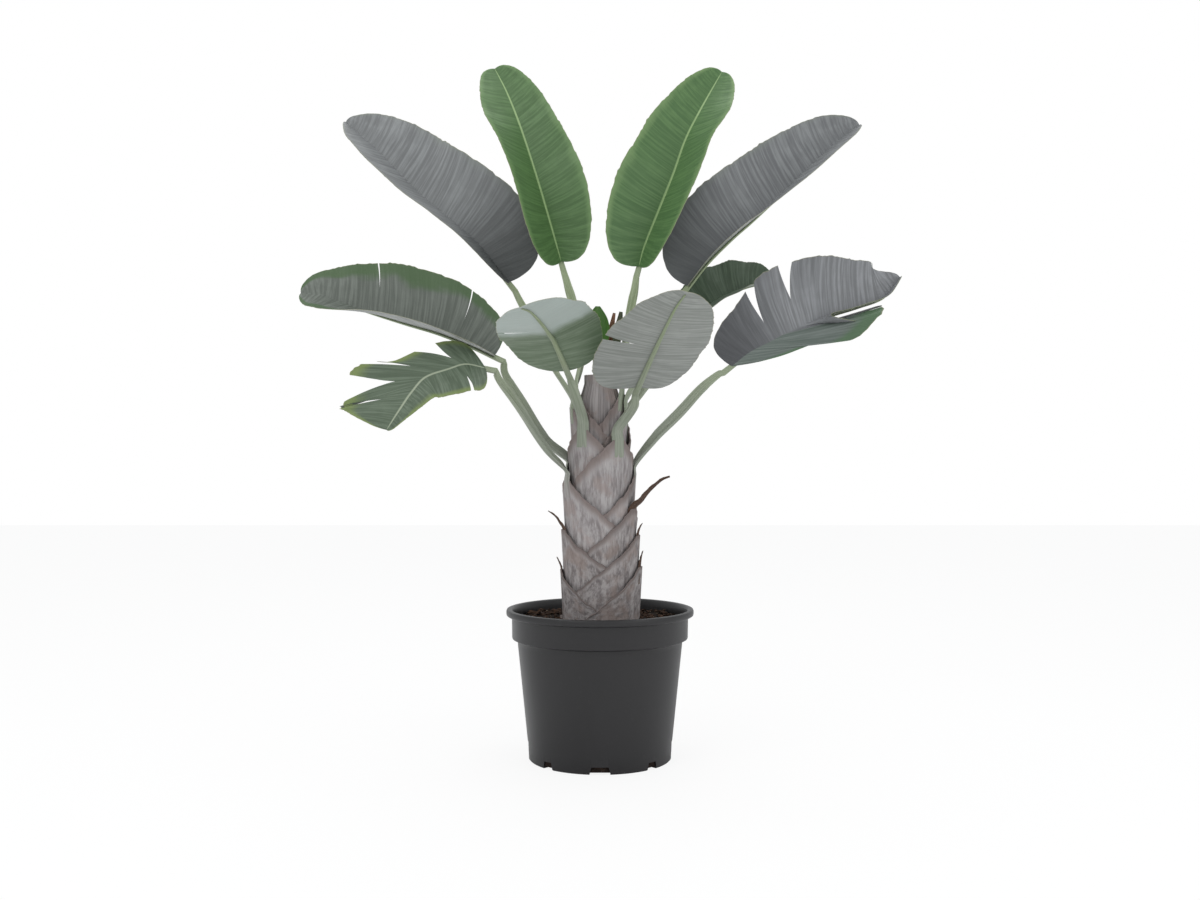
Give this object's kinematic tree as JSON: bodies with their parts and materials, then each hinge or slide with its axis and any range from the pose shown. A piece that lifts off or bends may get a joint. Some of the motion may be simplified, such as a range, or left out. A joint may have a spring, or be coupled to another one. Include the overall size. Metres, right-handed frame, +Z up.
{
  "type": "potted bird of paradise plant",
  "caption": "Tall bird of paradise house plant with paddle leaves on long stalks, an overlapping leaf-base trunk and a round black nursery pot.",
  "frame": {"origin": "middle of the pot's flat foot, on the floor", "axes": "+Z up, -Y towards the front, +X to the right seen from the front"},
  "size_m": [1.0882, 0.5571, 1.2938],
  "materials": {
    "pot": "satin",
    "soil": "matte",
    "trunk": "matte",
    "stalk": "satin",
    "blade": "satin",
    "young": "satin",
    "spear": "matte"
  },
  "bodies": {
    "root": {"blade_back_right": "blade", "blade_front_left": "blade", "blade_front_right": "blade", "blade_inner_left": "blade", "blade_inner_right": "blade", "blade_low_front_left": "blade", "blade_low_left": "blade", "blade_low_right": "blade", "blade_outer_left": "blade", "blade_outer_right": "blade", "dark_tip": "young", "old_base_a": "trunk", "old_base_b": "trunk", "old_base_c": "trunk", "old_base_d": "trunk", "old_base_e": "trunk", "pot": "pot", "soil": "soil", "spear": "spear", "stalk_back_right": "stalk", "stalk_front_left": "stalk", "stalk_front_right": "stalk", "stalk_inner_left": "stalk", "stalk_inner_right": "stalk", "stalk_low_front_left": "stalk", "stalk_low_left": "stalk", "stalk_low_right": "stalk", "stalk_outer_left": "stalk", "stalk_outer_right": "stalk", "stem_core": "trunk", "young_leaf": "young"}
  },
  "joints": []
}
